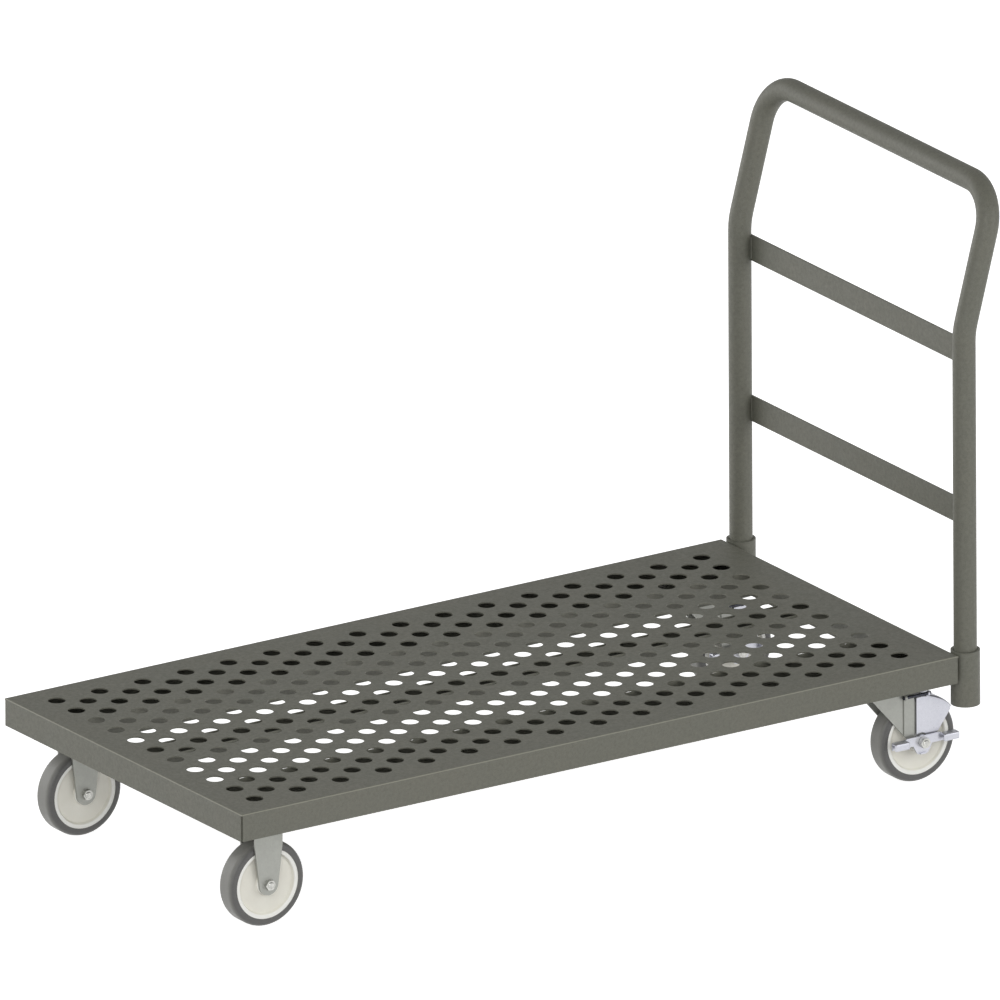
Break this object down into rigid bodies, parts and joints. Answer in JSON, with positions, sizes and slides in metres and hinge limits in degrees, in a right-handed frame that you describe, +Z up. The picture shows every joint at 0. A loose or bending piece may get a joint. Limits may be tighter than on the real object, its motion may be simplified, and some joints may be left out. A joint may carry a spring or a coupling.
{
  "type": "flatbed platform truck",
  "caption": "Steel platform truck with a perforated flat deck, a tall bent push handle in rear sockets, rigid front casters and braked swivel rear casters.",
  "frame": {"origin": "on the floor, under the middle of the overall length and width", "axes": "+Z up, +X towards the handle end (rear); -Y is the left of a person pushing from the handle"},
  "size_m": [1.3119, 0.6184, 0.8937],
  "materials": {
    "frame_paint": "textured grey powder coat",
    "fork_zinc": "satin zinc plate",
    "brake_zinc": "bright zinc plate",
    "fastener_zinc": "zinc plate",
    "hardened_steel": "ground and greased",
    "dark_steel": "black oxide",
    "tire_rubber": "satin non-marking grey",
    "core_plastic": "moulded, slightly glossy",
    "bushing_nylon": "plain bearing plastic"
  },
  "bodies": {
    "deck": {"caster_bolts": "fastener_zinc", "caster_lock_washers": "fastener_zinc", "caster_nuts": "fastener_zinc", "center_channel": "frame_paint", "deck_pan": "frame_paint", "front_axle_bolts": "fastener_zinc", "front_axle_nuts": "fastener_zinc", "front_cross_channel": "frame_paint", "front_left_axle_sleeve": "hardened_steel", "front_left_caster_plate": "fork_zinc", "front_left_fork": "fork_zinc", "front_right_axle_sleeve": "hardened_steel", "front_right_caster_plate": "fork_zinc", "front_right_fork": "fork_zinc", "handle_socket_left": "frame_paint", "handle_socket_right": "frame_paint", "kingpin_nuts": "fastener_zinc", "rear_cross_channel": "frame_paint", "rear_left_kingpin": "fastener_zinc", "rear_left_lower_race": "hardened_steel", "rear_left_swivel_plate": "fork_zinc", "rear_right_kingpin": "fastener_zinc", "rear_right_lower_race": "hardened_steel", "rear_right_swivel_plate": "fork_zinc", "side_channel_left": "frame_paint", "side_channel_right": "frame_paint", "socket_stops": "frame_paint"},
    "handle": {"handle_tube": "frame_paint", "lower_crossbar": "frame_paint", "upper_crossbar": "frame_paint"},
    "front_left_wheel": {"front_left_tire": "tire_rubber", "front_left_wheel_bushing": "bushing_nylon", "front_left_wheel_core": "core_plastic"},
    "rear_left_fork": {"rear_left_axle_bolt": "fastener_zinc", "rear_left_axle_nut": "fastener_zinc", "rear_left_axle_sleeve": "hardened_steel", "rear_left_bearing_balls": "hardened_steel", "rear_left_brake_bracket": "fork_zinc", "rear_left_brake_pin": "dark_steel", "rear_left_fork": "fork_zinc"},
    "rear_left_wheel": {"rear_left_tire": "tire_rubber", "rear_left_wheel_bushing": "bushing_nylon", "rear_left_wheel_core": "core_plastic"},
    "rear_left_brake_shoe": {"rear_left_brake_shoe": "brake_zinc"},
    "rear_left_brake_lever": {"rear_left_brake_lever": "brake_zinc"},
    "front_right_wheel": {"front_right_tire": "tire_rubber", "front_right_wheel_bushing": "bushing_nylon", "front_right_wheel_core": "core_plastic"},
    "rear_right_fork": {"rear_right_axle_bolt": "fastener_zinc", "rear_right_axle_nut": "fastener_zinc", "rear_right_axle_sleeve": "hardened_steel", "rear_right_bearing_balls": "hardened_steel", "rear_right_brake_bracket": "fork_zinc", "rear_right_brake_pin": "dark_steel", "rear_right_fork": "fork_zinc"},
    "rear_right_wheel": {"rear_right_tire": "tire_rubber", "rear_right_wheel_bushing": "bushing_nylon", "rear_right_wheel_core": "core_plastic"},
    "rear_right_brake_shoe": {"rear_right_brake_shoe": "brake_zinc"},
    "rear_right_brake_lever": {"rear_right_brake_lever": "brake_zinc"}
  },
  "joints": [
    {"name": "handle_lift", "type": "slide", "parent": "deck", "child": "handle", "axis": [0, 0, 1], "range_m": [0, 0.07]},
    {"name": "front_left_wheel_spin", "type": "hinge", "parent": "deck", "child": "front_left_wheel", "pos_m": [-0.57615, -0.2345, 0.0635], "axis": [0, 1, 0], "continuous": true},
    {"name": "rear_left_swivel", "type": "hinge", "parent": "deck", "child": "rear_left_fork", "pos_m": [0.48344, -0.2345, 0.15], "axis": [0, 0, 1], "continuous": true},
    {"name": "rear_left_wheel_spin", "type": "hinge", "parent": "rear_left_fork", "child": "rear_left_wheel", "pos_m": [0.52964, -0.2345, 0.0635], "axis": [0, 1, 0], "continuous": true},
    {"name": "rear_left_brake_press", "type": "hinge", "parent": "rear_left_fork", "child": "rear_left_brake_lever", "pos_m": [0.52964, -0.2345, 0.0635], "axis": [0, 1, 0], "range_deg": [0, 15]},
    {"name": "rear_left_shoe_tilt", "type": "hinge", "parent": "rear_left_fork", "child": "rear_left_brake_shoe", "pos_m": [0.52345, -0.2585, 0.1332], "axis": [-1, 0, 0], "range_deg": [0, 2]},
    {"name": "front_right_wheel_spin", "type": "hinge", "parent": "deck", "child": "front_right_wheel", "pos_m": [-0.57615, 0.2345, 0.0635], "axis": [0, 1, 0], "continuous": true},
    {"name": "rear_right_swivel", "type": "hinge", "parent": "deck", "child": "rear_right_fork", "pos_m": [0.48344, 0.2345, 0.15], "axis": [0, 0, 1], "continuous": true},
    {"name": "rear_right_wheel_spin", "type": "hinge", "parent": "rear_right_fork", "child": "rear_right_wheel", "pos_m": [0.52964, 0.2345, 0.0635], "axis": [0, 1, 0], "continuous": true},
    {"name": "rear_right_brake_press", "type": "hinge", "parent": "rear_right_fork", "child": "rear_right_brake_lever", "pos_m": [0.52964, 0.2345, 0.0635], "axis": [0, 1, 0], "range_deg": [0, 15]},
    {"name": "rear_right_shoe_tilt", "type": "hinge", "parent": "rear_right_fork", "child": "rear_right_brake_shoe", "pos_m": [0.52345, 0.2105, 0.1332], "axis": [-1, 0, 0], "range_deg": [0, 2]}
  ],
  "couplings": [
    {"joint": "rear_left_shoe_tilt", "follows": "rear_left_brake_press", "ratio": 0.1333},
    {"joint": "rear_right_shoe_tilt", "follows": "rear_right_brake_press", "ratio": 0.1333}
  ]
}
